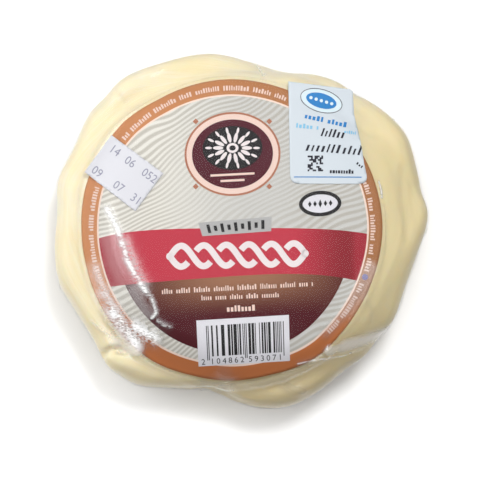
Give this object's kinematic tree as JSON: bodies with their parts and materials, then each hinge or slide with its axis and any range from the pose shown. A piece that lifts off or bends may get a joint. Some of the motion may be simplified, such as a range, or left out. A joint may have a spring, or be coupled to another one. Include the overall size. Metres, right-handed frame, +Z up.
{
  "type": "wound string cheese in clear film",
  "caption": "Flattened ball of string cheese wound from broad bands, sealed in clear film, with a round label and small stickers on top.",
  "frame": {"origin": "middle of the footprint's box, on the surface that the pack rests on", "axes": "+Z up through the round label, +Y towards the label's top edge, +X along the label's reading direction"},
  "size_m": [0.1392, 0.131, 0.0456],
  "materials": {
    "cheese_in_film": "pale cheese under tight clear film",
    "label_paper": "printed paper, orange ring and dark red field",
    "sticker_paper": "matte white sticker paper",
    "sticker_gloss": "satin pale blue sticker"
  },
  "bodies": {
    "root": {"cheese_pack": "cheese_in_film", "round_label": "label_paper", "date_sticker": "sticker_paper", "seal_sticker": "sticker_gloss"}
  },
  "joints": []
}
